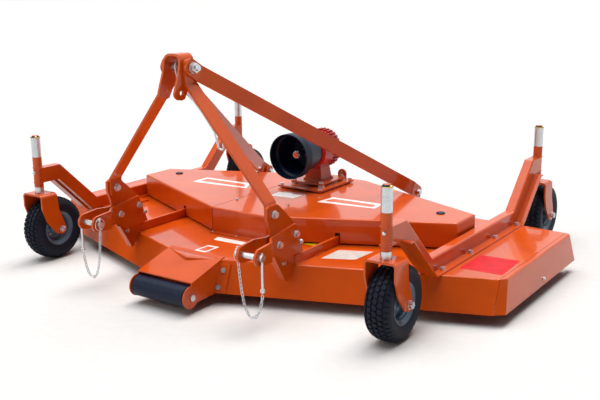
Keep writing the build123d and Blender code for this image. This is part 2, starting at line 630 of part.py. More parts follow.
def chain_link(centre, along, spin):
    """One oval link of round wire, lying along a direction and turned about it."""
    straight = LINK_PITCH / 2 + LINK_WIRE - LINK_HALF_W
    path = FilletPolyline((-straight - LINK_HALF_W, -LINK_HALF_W), (straight + LINK_HALF_W, -LINK_HALF_W),
                          (straight + LINK_HALF_W, LINK_HALF_W), (-straight - LINK_HALF_W, LINK_HALF_W),
                          radius=LINK_HALF_W - 0.01, close=True)
    section = Plane(origin=(0, -LINK_HALF_W, 0), z_dir=(1, 0, 0)) * Circle(LINK_WIRE)
    link = sweep(section, path=Wire(path.edges()))
    d = Vector(*along).normalized()
    side = Vector(0, 1, 0) if spin else d.cross(Vector(0, 1, 0)).normalized()
    normal = d.cross(side)
    return Plane(origin=centre, x_dir=d, z_dir=normal).location * link


def hanging_points(start, end, length, count):
    """Evenly spaced points of a chain that hangs between two points."""
    span = math.hypot(end[0] - start[0], end[1] - start[1])
    rise = end[2] - start[2]
    low, high = 1e-4, 60.0
    target = math.sqrt(length ** 2 - rise ** 2) / span
    for _ in range(80):
        middle = (low + high) / 2
        if math.sinh(middle) / middle < target:
            low = middle
        else:
            high = middle
    a = span / (2 * low)
    mean = (span / 2) - a * math.atanh(rise / length)
    drop = a * math.cosh(mean / a)
    first = a * math.sinh(-mean / a)
    points = []
    for i in range(count + 1):
        arc = first + length * i / count
        s = mean + a * math.asinh(arc / a)
        t = s / span
        z = start[2] + a * math.cosh((s - mean) / a) - drop
        points.append((start[0] + (end[0] - start[0]) * t, start[1] + (end[1] - start[1]) * t, z))
    return points


def make_chains():
    outer = HITCH_X + CLEVIS_GAP / 2 + CLEVIS_T
    inner = HITCH_X - CLEVIS_GAP / 2 - CLEVIS_T
    hook_x = inner - 11
    lynch = rod((hook_x, PIN_Y, PIN_Z - 17), (hook_x, PIN_Y, PIN_Z + 26), 4.4)
    lynch += rod((hook_x, PIN_Y, PIN_Z + 17), (hook_x, PIN_Y, PIN_Z + 28), 6.5)
    round_pin = Plane(origin=(hook_x, PIN_Y, PIN_Z), x_dir=(0, 1, 0), z_dir=(1, 0, 0))
    pieces = [lynch + round_pin * Torus(24, 1.6)]
    start = (hook_x, PIN_Y, PIN_Z - 30)
    end = (outer + 10, PIN_Y, PIN_Z - 141)
    count = 23
    points = hanging_points(start, end, LINK_PITCH * count, count)
    for i in range(count):
        a = Vector(*points[i])
        b = Vector(*points[i + 1])
        pieces.append(chain_link(tuple((a + b) / 2), tuple(b - a), i % 2))
    keep("pin_chains", *pieces, *[mirrored(p) for p in pieces])


def make_mast():
    """A-frame legs, long rear braces, and what hangs on the bolt at the top."""
    y0, z0 = LEG_BOLT_YZ
    y1, z1 = MAST_BOLT_YZ
    lean = math.degrees(math.atan2(y0 - y1, z1 - z0))
    length = math.hypot(y1 - y0, z1 - z0)
    foot_x = HITCH_X - BASE_T / 2 - BAR_T / 2 - 0.3
    head_x = 50.6
    points = [(foot_x, -42), (foot_x, 40), (head_x, length - 60), (head_x, length + 34)]
    leg = bent_bar(points, BAR_T, BAR_W, 14, Plane(origin=(0, 0, 0), x_dir=(1, 0, 0), z_dir=(0, -1, 0)))
    leg = round_ended(leg, -42, length + 34, Plane(origin=(0, 0, 0), x_dir=(0, 0, 1), z_dir=(1, 0, 0)))
    leg = Pos(0, y0, z0) * Rot(lean, 0, 0) * leg
    leg -= rod((0, *LEG_BOLT_YZ), (500, *LEG_BOLT_YZ), 9)
    leg -= rod((0, *MAST_BOLT_YZ), (200, *MAST_BOLT_YZ), PIN_R + FIT)
    keep("right_mast_leg", leg)
    keep("left_mast_leg", mirrored(leg))

    y2, z2 = BRACE_BOLT_YZ
    dip = math.degrees(math.atan2(z1 - z2, y2 - y1))
    reach = math.hypot(y2 - y1, z1 - z2)
    tail_x = 445.0
    brace_x = head_x + BAR_T + 0.3
    points = [(-34, brace_x), (50, brace_x), (reach - 60, tail_x), (reach + 34, tail_x)]
    plane = Plane(origin=(0, 0, 0), x_dir=(0, 1, 0), z_dir=(0, 0, -1))
    brace = bent_bar(points, BAR_T, BAR_W, 14, plane)
    brace = round_ended(brace, -34, reach + 34, Plane(origin=(0, 0, 0), x_dir=(0, 1, 0), z_dir=(1, 0, 0)))
    brace = Pos(0, y1, z1) * Rot(-dip, 0, 0) * brace
    brace -= rod((0, *MAST_BOLT_YZ), (200, *MAST_BOLT_YZ), PIN_R + FIT)
    brace -= rod((400, *BRACE_BOLT_YZ), (500, *BRACE_BOLT_YZ), 9)
    keep("right_brace", brace)
    keep("left_brace", mirrored(brace))

    lug_x = tail_x - BAR_T / 2 - 0.3
    lug = prism([(345, DECK_TOP + 0.2), (345, 200), (372, 292), (384, 303), (410, 303), (422, 292),
                 (428, 240), (428, DECK_TOP + 0.2)], "x", lug_x - BAR_T, lug_x)
    lug -= rod((400, *BRACE_BOLT_YZ), (500, *BRACE_BOLT_YZ), 9)
    keep("brace_lugs", lug, mirrored(lug))

    stack = brace_x + BAR_T / 2
    bolt = rod((-stack - 4, *MAST_BOLT_YZ), (stack + 34, *MAST_BOLT_YZ), PIN_R)
    bolt += hexagon((-stack - 0.2, *MAST_BOLT_YZ), (-stack - 14, *MAST_BOLT_YZ), 34)
    nut = ring((stack + 0.2, *MAST_BOLT_YZ), (stack + 4, *MAST_BOLT_YZ), 21, PIN_R + FIT)
    nut += hexagon((stack + 4, *MAST_BOLT_YZ), (stack + 22, *MAST_BOLT_YZ), 34) \
        - rod((stack, *MAST_BOLT_YZ), (stack + 30, *MAST_BOLT_YZ), PIN_R + FIT)
    spacer = ring((-34.7, *MAST_BOLT_YZ), (34.7, *MAST_BOLT_YZ), 17, PIN_R + FIT)
    keep("mast_bolt", bolt, nut, spacer)


def make_top_link_clevis():
    """An inverted U strap that swings on the mast bolt; its lower ears take the top link's pin."""
    ear_mid = 40.0
    strap_points = [(-ear_mid, 780), (-ear_mid, 989), (ear_mid, 989), (ear_mid, 780)]
    plane = Plane(origin=(0, 0, 0), x_dir=(1, 0, 0), z_dir=(0, -1, 0))
    strap = bent_bar(strap_points, 9.4, 2400, 22, plane)
    outline = [(-792, 1000), (-806, 925), (-836, 846), (-832, 832), (-817, 821), (-795, 818), (-779, 822),
               (-770, 836), (-744, 880), (-724, 926), (-720, 1000)]
    strap &= prism(outline, "x", -80, 80)
    strap -= rod((-80, *LINK_HOLE_YZ), (80, *LINK_HOLE_YZ), LINK_HOLE_R)
    strap -= rod((-80, *MAST_BOLT_YZ), (80, *MAST_BOLT_YZ), PIN_R + FIT)
    keep("top_link_clevis", strap)


HOOK_R = 4.0


def make_shaft_hook():
    """A bent wire that swings down to hold the drive shaft when the machine is parked."""
    y, z = MAST_BOLT_YZ
    loop = 25.0
    eye = [(0, y + loop * math.sin(a), z + loop * math.cos(a)) for a in (1.2, 0.4, -0.5, -1.4, -2.1)]
    route = [(0, y + 25, z - 4)] + eye + [(4, -774, 900), (22, -736, 838), (52, -700, 770),
                                          (92, -668, 684), (103, -655, 612), (124, -652, 612),
                                          (128, -664, 660)]
    radii = [7, 9, 9, 9, 9, 12, 20, 30, 30, 11, 8]
    path = FilletPolyline(*route, radius=radii)
    start = Vector(*route[0])
    section = Plane(origin=start, z_dir=Vector(*route[1]) - start) * Circle(HOOK_R)
    keep("shaft_hook", sweep(section, path=Wire(path.edges())))


# ---- anti-scalp roller -----------------------------------------------------------------------
def make_roller():
    centre = (0, ROLLER_Y, ROLLER_Z)
    tube = [(8.1, -ROLLER_HALF), (ROLLER_R - 5, -ROLLER_HALF), (ROLLER_R, -ROLLER_HALF + 5),
            (ROLLER_R, ROLLER_HALF - 5), (ROLLER_R - 5, ROLLER_HALF), (8.1, ROLLER_HALF)]
    keep("roller", turned(tube, centre, (1, 0, 0), (0, 0, 1)))
    tip = BRACKET_X + 5
    axle = rod((-tip - 2, ROLLER_Y, ROLLER_Z), (tip + 12, ROLLER_Y, ROLLER_Z), 8)
    axle += hexagon((-tip - 0.2, ROLLER_Y, ROLLER_Z), (-tip - 10, ROLLER_Y, ROLLER_Z), 24)
    axle += hexagon((tip + 0.2, ROLLER_Y, ROLLER_Z), (tip + 12, ROLLER_Y, ROLLER_Z), 24)
    keep("roller_axle", axle)

    front = ROLLER_Y + 8
    plate_z = 129.0
    rise = 0.27
    far_y = -600.0
    side_outline = [(front, plate_z), (far_y, plate_z + rise * (far_y - front)), (far_y, 20), (-770, 46),
                    (ROLLER_Y + 34, ROLLER_Z - 30), (ROLLER_Y, ROLLER_Z)]
    side = prism(side_outline, "x", BRACKET_X, tip)
    side += rod((BRACKET_X, ROLLER_Y, ROLLER_Z), (tip, ROLLER_Y, ROLLER_Z), BRACKET_TIP)
    above = prism([(front - 60, plate_z - 60 * rise + 0.01), (far_y, plate_z + rise * (far_y - front) + 0.01),
                   (far_y, 400), (front - 60, 400)], "x", -200, 200)
    side -= above
    side -= rod((BRACKET_X - 5, ROLLER_Y, ROLLER_Z), (tip + 5, ROLLER_Y, ROLLER_Z), 8 + FIT)
    top_line = [(front, plate_z - 4.8), (front, plate_z),
                (far_y, plate_z + rise * (far_y - front)), (far_y, plate_z - 4.8 + rise * (far_y - front))]
    top = prism(top_line, "x", -tip, tip)
    skirt = deck_block(0, DECK_BOTTOM - 40, DECK_TOP)
    near = skirt.moved(Location((0, -0.6, 0)))
    wrap = skirt.moved(Location((0, -FLANGE_OUT, 0))) - near
    flange = wrap & block(BRACKET_X, 186, -900, -500, 50, 161)
    bracket = top + side + mirrored(side) - near
    bracket = bracket & block(-tip, tip, -1000, -690, 0, 400)
    keep_side = max(bracket.solids(), key=lambda s: s.volume)
    keep("roller_bracket", Part() + keep_side + flange + mirrored(flange))


# ---- fasteners -------------------------------------------------------------------------------
def make_fasteners():
    up = (0, 0, 1)
    heads = []
    beam_top = DECK_TOP + PLATE_T
    for sx in (-1, 1):
        for y in (-357, -100, 155, 405):
            heads.append(bolt_head((sx * 947, y, beam_top), up))
        for y in (-237, 237):
            heads.append(bolt_head((sx * 811, y, beam_top), up))
        out = (sx, 0, 0)
        into = (-sx, 0, 0)
        for y, z in HITCH_BOLTS[:2]:
            heads.append(bolt_head((sx * (HITCH_X + BASE_T / 2 + CLEVIS_T), y, z), out, 22))
            heads.append(bolt_head((sx * (HITCH_X - BASE_T / 2 - CLEVIS_T), y, z), into, 22))
        for y, z in HITCH_BOLTS[3:]:
            heads.append(bolt_head((sx * (HITCH_X + BASE_T / 2 + CLEVIS_T), y, z), out, 15))
            heads.append(bolt_head((sx * (HITCH_X - BASE_T / 2 - CLEVIS_T), y, z), into, 15))
        y, z = HITCH_BOLTS[2]
        heads.append(bolt_head((sx * (HITCH_X + BASE_T / 2), y, z), out, 15))
        heads.append(bolt_head((sx * (HITCH_X - BASE_T / 2), y, z), into, 15))
        leg_face = HITCH_X - BASE_T / 2 - BAR_T - 0.5
        shank = rod((sx * (leg_face - 1), *LEG_BOLT_YZ), (sx * (HITCH_X + BASE_T / 2 + 1), *LEG_BOLT_YZ), 8.5)
        heads.append(shank + bolt_head((sx * (HITCH_X + BASE_T / 2 + 0.2), *LEG_BOLT_YZ), out, 24)
                     + bolt_head((sx * leg_face, *LEG_BOLT_YZ), into, 24))
        brace_out = 450.3
        lug_in = 429.4
        shank = rod((sx * (lug_in - 1), *BRACE_BOLT_YZ), (sx * (brace_out + 1), *BRACE_BOLT_YZ), 8.5)
        heads.append(shank + bolt_head((sx * brace_out, *BRACE_BOLT_YZ), out, 24)
                     + bolt_head((sx * lug_in, *BRACE_BOLT_YZ), into, 24))
        for y in (62, 332):
            heads.append(bolt_head((sx * 110, y, LOWER_PLATE[1]), up, 17))
        for y in (124, 310):
            heads.append(ring((sx * 76, y, LOWER_PLATE[1] + 0.1), (sx * 76, y, UPPER_PLATE[0] - 0.1), 15, 6))
            heads.append(bolt_head((sx * 76, y, UPPER_PLATE[1]), up, 17))
    for x, y in ((-136, -253), (120, -212)):
        heads.append(bolt_head((x, y, COVER_TOP), up, 13))
    for x in (-136, -3, 130):
        heads.append(bolt_head((x, -426, DECK_TOP + 4), up, 9))
    for sx in (-1, 1):
        square_out = Vector(sx * SWEEP, -1, SKIRT_LEAN / (DECK_TOP - DECK_BOTTOM)).normalized()
        for x, z in ((162, 137), (154, 72)):
            heads.append(bolt_head((sx * x, front_y(x, z) - FLANGE_OUT, z), square_out, 15))
        heads.append(bolt_head((sx * 1201.8, 55, 76), Vector(sx * 0.9915, 0, 0.1297), 12))
    for sx in (-1, 1):
        x = sx * IDLER_XY[0]
        y = IDLER_XY[1]
        post = rod((x, y, DECK_TOP + 0.2), (x, y, 266), 8) + rod((x, y, DECK_TOP + 0.2), (x, y, 227), 14)
        heads.append(post + hexagon((x, y, 254), (x, y, 266), 24))
    heads.append(hexagon((62.5, 322.8, 332), (62.5, 330.8, 332), 20))
    heads.append(hexagon((62.5, 341.2, 332), (62.5, 352, 332), 20))
    keep("deck_bolts", *heads)


make_deck()
make_end_skirts()
make_beams()
for side_name, side_sign in (("left", -1), ("right", 1)):
    for end_name, end_sign in (("front", -1), ("rear", 1)):
        make_caster(side_name, end_name, side_sign, end_sign)
make_caster_spacers()
make_covers()
make_gearbox()
make_spindles()
make_belt()
make_guard()
make_hitch()
make_pins()
make_chains()
make_mast()
make_top_link_clevis()
make_shaft_hook()
make_roller()
make_fasteners()

os.makedirs("parts", exist_ok=True)
for node_name, shape in nodes.items():
    export_step(shape, f"parts/{node_name}.step")
print(len(nodes), "nodes")
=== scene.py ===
import json
import math
import random

import bmesh
import bpy
from mathutils import Matrix, Vector


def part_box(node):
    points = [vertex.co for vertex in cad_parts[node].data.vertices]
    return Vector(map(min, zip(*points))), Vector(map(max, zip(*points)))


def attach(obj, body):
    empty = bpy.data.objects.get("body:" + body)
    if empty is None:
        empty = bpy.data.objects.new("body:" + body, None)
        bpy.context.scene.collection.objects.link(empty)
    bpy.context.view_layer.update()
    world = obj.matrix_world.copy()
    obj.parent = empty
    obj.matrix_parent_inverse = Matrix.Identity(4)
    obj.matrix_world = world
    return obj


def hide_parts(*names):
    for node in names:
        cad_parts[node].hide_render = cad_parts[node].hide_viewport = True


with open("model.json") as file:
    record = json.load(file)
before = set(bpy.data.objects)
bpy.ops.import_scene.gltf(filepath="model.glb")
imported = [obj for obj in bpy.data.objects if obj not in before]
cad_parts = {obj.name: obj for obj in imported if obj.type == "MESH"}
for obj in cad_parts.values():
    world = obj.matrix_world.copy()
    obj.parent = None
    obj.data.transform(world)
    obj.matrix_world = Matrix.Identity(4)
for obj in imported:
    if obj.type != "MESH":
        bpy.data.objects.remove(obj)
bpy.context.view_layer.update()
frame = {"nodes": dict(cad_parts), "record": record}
mm = 0.001
rng = random.Random(7)


# ---- colour and node helpers -----------------------------------------------------------------
def linear(hex_colour, alpha=1.0):
    """An sRGB hex colour as linear values."""
    value = hex_colour.lstrip("#")
    channels = [int(value[i:i + 2], 16) / 255 for i in (0, 2, 4)]
    return tuple(c / 12.92 if c <= 0.04045 else ((c + 0.055) / 1.055) ** 2.4 for c in channels) + (alpha,)


def add(mat, kind, values=None, links=None, **settings):
    """Add one node with its settings, input values and incoming links."""
    node = mat.node_tree.nodes.new(kind)
    for key, value in settings.items():
        setattr(node, key, value)
    for key, value in (values or {}).items():
        node.inputs[key].default_value = value
    for key, socket in (links or {}).items():
        mat.node_tree.links.new(socket, node.inputs[key])
    return node


def start_material(name, **values):
    """A material with one Principled shader, its even values set on the sockets."""
    mat = bpy.data.materials.new(name)
    mat.use_nodes = True
    shader = mat.node_tree.nodes["Principled BSDF"]
    for key, value in values.items():
        shader.inputs[key.replace("_", " ")].default_value = value
    return mat, shader


def ramp(mat, factor, stops):
    """A colour ramp over a factor; stops are (position, colour)."""
    node = add(mat, "ShaderNodeValToRGB", links={"Fac": factor})
    node.color_ramp.elements[0].position = stops[0][0]
    node.color_ramp.elements[0].color = stops[0][1]
    node.color_ramp.elements[1].position = stops[-1][0]
    node.color_ramp.elements[1].color = stops[-1][1]
    for position, colour in stops[1:-1]:
        node.color_ramp.elements.new(position).color = colour
    return node


def per_metre(size_mm):
    """A noise scale whose blobs are about this many millimetres across."""
    return 1000.0 / size_mm


def enamel(name, body, deep, scuff, gloss=0.16):
    """Solvent enamel sprayed on cut and bent steel.

    It lies as a glossy film with faint orange peel, a little thinner and darker in patches,
    with a dull dusting that breaks up its reflections.
    """
    mat, shader = start_material(name, Metallic=0.0, Coat_Weight=0.5, Coat_Roughness=0.04, Coat_IOR=1.5,
                                 Specular_IOR_Level=0.1)
    place = add(mat, "ShaderNodeTexCoord").outputs["Object"]
    cloud = add(mat, "ShaderNodeTexNoise", {"Scale": per_metre(180), "Detail": 4.0}, {"Vector": place})
    tone = ramp(mat, cloud.outputs["Fac"], [(0.3, linear(deep)), (0.62, linear(body))])
    rub = add(mat, "ShaderNodeTexNoise", {"Scale": per_metre(55), "Detail": 9.0, "Roughness": 0.72,
                                          "Distortion": 0.6}, {"Vector": place})
    worn = add(mat, "ShaderNodeMapRange", {"From Min": 0.64, "From Max": 0.72, "To Max": 0.5},
               {"Value": rub.outputs["Fac"]})
    colour = add(mat, "ShaderNodeMix", {"B": linear(scuff)}, {"Factor": worn.outputs["Result"],
                                                              "A": tone.outputs["Color"]},
                 data_type="RGBA")
    dust = add(mat, "ShaderNodeTexNoise", {"Scale": per_metre(28), "Detail": 8.0, "Roughness": 0.7},
               {"Vector": place})
    rough = add(mat, "ShaderNodeMapRange", {"From Min": 0.35, "From Max": 0.75, "To Min": gloss,
                                            "To Max": gloss + 0.13}, {"Value": dust.outputs["Fac"]})
    peel = add(mat, "ShaderNodeTexNoise", {"Scale": per_metre(2.6), "Detail": 2.0}, {"Vector": place})
    wave = add(mat, "ShaderNodeTexNoise", {"Scale": per_metre(70), "Detail": 1.0}, {"Vector": place})
    edge = add(mat, "ShaderNodeBevel", {"Radius": EDGE_ROUND}, samples=6)
    low = add(mat, "ShaderNodeBump", {"Strength": 0.12, "Distance": 0.004},
              {"Height": wave.outputs["Fac"], "Normal": edge.outputs["Normal"]})
    bump = add(mat, "ShaderNodeBump", {"Strength": 0.05, "Distance": 0.0006},
               {"Height": peel.outputs["Fac"], "Normal": low.outputs["Normal"]})
    links = mat.node_tree.links
    links.new(colour.outputs["Result"], shader.inputs["Base Color"])
    links.new(rough.outputs["Result"], shader.inputs["Roughness"])
    links.new(bump.outputs["Normal"], shader.inputs["Normal"])
    return mat


def two_tone(mat, outer, axis_point, radius):
    """Paint everything beyond a radius from a fore-and-aft axis in a second colour."""
    shader = mat.node_tree.nodes["Principled BSDF"]
    base = shader.inputs["Base Color"].links[0].from_socket
    place = add(mat, "ShaderNodeTexCoord").outputs["Object"]
    flat = add(mat, "ShaderNodeVectorMath", {1: (1.0, 0.0, 1.0)}, {0: place}, operation="MULTIPLY")
    away = add(mat, "ShaderNodeVectorMath", {1: axis_point}, {0: flat.outputs["Vector"]},
               operation="DISTANCE")
    beyond = add(mat, "ShaderNodeMath", {1: radius}, {0: away.outputs["Value"]}, operation="GREATER_THAN")
    both = add(mat, "ShaderNodeMix", {"B": linear(outer)}, {"Factor": beyond.outputs["Value"], "A": base},
               data_type="RGBA")
    mat.node_tree.links.new(both.outputs["Result"], shader.inputs["Base Color"])


def plated(name, pale, grey, rough_low, rough_high, tint="#c9c7a0"):
    """Zinc plate with a clear passivate on turned, sawn and rolled steel.

    It gives a cool, slightly milky metal with faint yellow-green bloom.
    """
    mat, shader = start_material(name, Metallic=1.0)
    place = add(mat, "ShaderNodeTexCoord").outputs["Object"]
    spangle = add(mat, "ShaderNodeTexNoise", {"Scale": per_metre(9), "Detail": 6.0, "Roughness": 0.65},
                  {"Vector": place})
    tone = ramp(mat, spangle.outputs["Fac"],
                [(0.3, linear(grey)), (0.5, linear(pale)), (0.72, linear(tint))])
    rough = add(mat, "ShaderNodeMapRange", {"To Min": rough_low, "To Max": rough_high},
                {"Value": spangle.outputs["Fac"]})
    grain = add(mat, "ShaderNodeTexNoise", {"Scale": per_metre(1.6), "Detail": 3.0}, {"Vector": place})
    bump = add(mat, "ShaderNodeBump", {"Strength": 0.18, "Distance": 0.0004},
               {"Height": grain.outputs["Fac"]})
    links = mat.node_tree.links
    links.new(tone.outputs["Color"], shader.inputs["Base Color"])
    links.new(rough.outputs["Result"], shader.inputs["Roughness"])
    links.new(bump.outputs["Normal"], shader.inputs["Normal"])
    return mat


def matt(name, body, worn, rough_low, rough_high, grain_mm, depth_mm, strength=0.35, **values):
    """A dark non-metal with a grained skin and paler, drier patches."""
    mat, shader = start_material(name, **values)
    place = add(mat, "ShaderNodeTexCoord").outputs["Object"]
    cloud = add(mat, "ShaderNodeTexNoise", {"Scale": per_metre(grain_mm * 14), "Detail": 7.0,
                                            "Roughness": 0.6}, {"Vector": place})
    tone = ramp(mat, cloud.outputs["Fac"], [(0.38, linear(body)), (0.72, linear(worn))])
    rough = add(mat, "ShaderNodeMapRange", {"To Min": rough_low, "To Max": rough_high},
                {"Value": cloud.outputs["Fac"]})
    grain = add(mat, "ShaderNodeTexNoise", {"Scale": per_metre(grain_mm), "Detail": 4.0}, {"Vector": place})
    bump = add(mat, "ShaderNodeBump", {"Strength": strength, "Distance": depth_mm * mm},
               {"Height": grain.outputs["Fac"]})
    links = mat.node_tree.links
    links.new(tone.outputs["Color"], shader.inputs["Base Color"])
    links.new(rough.outputs["Result"], shader.inputs["Roughness"])
    links.new(bump.outputs["Normal"], shader.inputs["Normal"])
    return mat


EDGE_ROUND = 0.0016
GEARBOX_AXIS = (0.0, 0.0, 0.468)
DRUM_R = 0.0965
orange = enamel("orange_spray_enamel", "#cc500f", "#be470c", "#9a3014")
red = enamel("red_gearbox_enamel_on_cast_iron", "#c42c2c", "#a41f24", "#7c1a1c", gloss=0.24)
two_tone(red, "#c2480f", GEARBOX_AXIS, DRUM_R)
rim_blue = enamel("grey_blue_rim_enamel", "#5d7488", "#465a6e", "#39434d", gloss=0.3)
zinc = plated("clear_zinc_plate", "#d5dbe4", "#a9b2c0", 0.24, 0.42)
yellow_zinc = plated("yellow_passivated_zinc", "#d9c27a", "#b79a52", 0.26, 0.42, "#c8b98f")
blade_steel = plated("ground_spring_steel", "#8d8b88", "#5f5d5c", 0.35, 0.6, "#7c6f63")
iron = matt("shell_cast_iron", "#2c2d31", "#4a4a4c", 0.45, 0.7, 1.6, 0.5, Metallic=0.4)
moulded = matt("blow_moulded_black_polyethylene", "#071226", "#10203e", 0.3, 0.5, 1.2, 0.15,
               Specular_IOR_Level=0.2)
rubber = matt("carbon_black_tyre_rubber", "#060d1a", "#101a2e", 0.5, 0.75, 1.4, 0.2,
              Specular_IOR_Level=0.25)
belt = matt("cord_reinforced_belt_rubber", "#151515", "#2c2b2a", 0.6, 0.8, 0.9, 0.2)
white_film = matt("gloss_white_vinyl_film", "#f3f1ee", "#e4e0da", 0.12, 0.22, 3.0, 0.02)
red_film = matt("red_vinyl_film", "#d0101f", "#b80e1c", 0.3, 0.4, 3.0, 0.02, Specular_IOR_Level=0.1)
orange_film = matt("orange_vinyl_film", "#f0581c", "#e04e18", 0.12, 0.25, 3.0, 0.02)
yellow_film = matt("yellow_vinyl_film", "#f2d21a", "#e0c016", 0.12, 0.25, 3.0, 0.02)
grey_film = matt("pale_grey_vinyl_film", "#d9d2cc", "#b7aea8", 0.2, 0.35, 2.0, 0.02)

SLOT_FINISH = {"orange_paint": orange, "red_paint": red, "zinc": zinc, "blade_steel": blade_steel,
               "cast_iron": iron, "black_plastic": moulded, "tyre_rubber": rubber, "rim_paint": rim_blue,
               "belt_rubber": belt}

def finish_cad_nodes():
    """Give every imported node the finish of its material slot."""
    for part in frame["record"]["subparts"]:
        shape = frame["nodes"][part["node"]]
        finish = SLOT_FINISH[part["material_slot"]]
        if not shape.material_slots:
            shape.data.materials.append(finish)
        for used in shape.material_slots:
            used.material = finish


finish_cad_nodes()


# ---- mesh helpers ----------------------------------------------------------------------------
def mesh_object(name, verts, faces, finish, smooth=True, body="frame"):
    """A mesh piece in one finish that rides on a body."""
    mesh = bpy.data.meshes.new(name)
    mesh.from_pydata(verts, [], faces)
    mesh.validate()
    work = bmesh.new()
    work.from_mesh(mesh)
    bmesh.ops.recalc_face_normals(work, faces=work.faces)
    work.to_mesh(mesh)
    work.free()
    mesh.materials.append(finish)
    for polygon in mesh.polygons:
        polygon.use_smooth = smooth
    obj = bpy.data.objects.new(name, mesh)
    bpy.context.collection.objects.link(obj)
    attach(obj, body)
    return obj


def tube(points, radii, sides=10, closed=False):
    """Vertices and faces of a round tube along points, with its own radius at each."""
    verts = []
    faces = []
    count = len(points)
    pts = [Vector(p) for p in points]
    guide = Vector((0.13, 0.29, 0.95)).normalized()
    for i, p in enumerate(pts):
        before = pts[i - 1] if i or closed else pts[0]
        after = pts[(i + 1) % count] if i < count - 1 or closed else pts[-1]
        along = (after - before).normalized()
        side = along.cross(guide)
        side = side.normalized() if side.length > 1e-6 else along.orthogonal().normalized()
        up = side.cross(along)
        for k in range(sides):
            a = 2 * math.pi * k / sides
            verts.append(p + (side * math.cos(a) + up * math.sin(a)) * radii[i])
    spans = count if closed else count - 1
    for i in range(spans):
        j = (i + 1) % count
        for k in range(sides):
            m = (k + 1) % sides
            faces.append((i * sides + k, i * sides + m, j * sides + m, j * sides + k))
    if not closed:
        faces.append(tuple(range(sides)))
        faces.append(tuple((count - 1) * sides + k for k in range(sides)))
    return verts, faces


def merged(parts):
    """Several (verts, faces) lists as one."""
    verts = []
    faces = []
    for v, f in parts:
        base = len(verts)
        verts += v
        faces += [tuple(i + base for i in face) for face in f]
    return verts, faces


def line_points(a, b, step):
    """Points from a to b, about a step apart."""
    a = Vector(a)
    b = Vector(b)
    count = max(2, int((b - a).length / step))
    return [a.lerp(b, i / count) for i in range(count + 1)]


def ring_points(centre, radius, axis="z", count=48, start=0.0, sweep=2 * math.pi):
    """Points round a circle."""
    points = []
    for i in range(count):
        a = start + sweep * i / count
        c = radius * math.cos(a)
        s = radius * math.sin(a)
        offset = {"z": (c, s, 0), "x": (0, c, s), "y": (c, 0, s)}[axis]
        points.append(Vector(centre) + Vector(offset))
    return points


def weld(points, size, closed=False):
    """A weld bead: a tube whose thickness ripples with each pool of metal."""
    radii = [size * (0.82 + 0.18 * math.sin(i * 1.9) + rng.uniform(-0.06, 0.06)) for i in range(len(points))]
    return tube(points, radii, 8, closed)


# ---- tyres -----------------------------------------------------------------------------------
CROWN = [(145.0, 0), (144.5, 13), (142.2, 27), (138.0, 38.5), (131.0, 47), (119, 52.0), (105, 52.7),
         (92, 49.5), (83.5, 44.5), (80.2, 42.0)]
GROOVE = 7.0
TREAD_ROWS = [(-42.5, 14, 0.0), (-21.5, 16, 0.5), (0, 17, 0.0), (21.5, 16, 0.5), (42.5, 14, 0.0)]
TREAD_HALF = 51.5
BLOCKS_ROUND = 40
BLOCK_OUTLINE = [(-0.5, -0.30), (-0.32, -0.5), (0.32, -0.5), (0.5, -0.30), (0.5, 0.22), (0.30, 0.5),
                 (-0.30, 0.5), (-0.5, 0.22)]
BLOCK_LAYERS = [(-GROOVE - 0.6, 1.08), (-1.2, 1.0), (0.0, 0.86)]
BLOCK_LENGTH = 16.5 / 140
BLOCK_LEAN = 0.18
CARCASS_STEPS = 96
BEAD_SEAT = [(70, 38.5), (66.5, 34)]
SHOULDER_X = 49
SHOULDER_END_X = 53
SHOULDER_FADE = 9
WHEEL_STEPS = 96


def crown_radius(x):
    """The tyre's outer radius at a distance from its middle."""
    x = abs(x)
    for (r0, x0), (r1, x1) in zip(CROWN, CROWN[1:]):
        if x0 <= x <= x1:
            return r0 + (r1 - r0) * (x - x0) / (x1 - x0)
    return CROWN[5][0]


def carcass_radius(r, x):
    """The carcass lies a groove's depth under the crown and meets it at the shoulder."""
    depth = GROOVE * max(0.0, min(1.0, (SHOULDER_END_X - x) / SHOULDER_FADE))
    return r - depth if x < SHOULDER_X else r


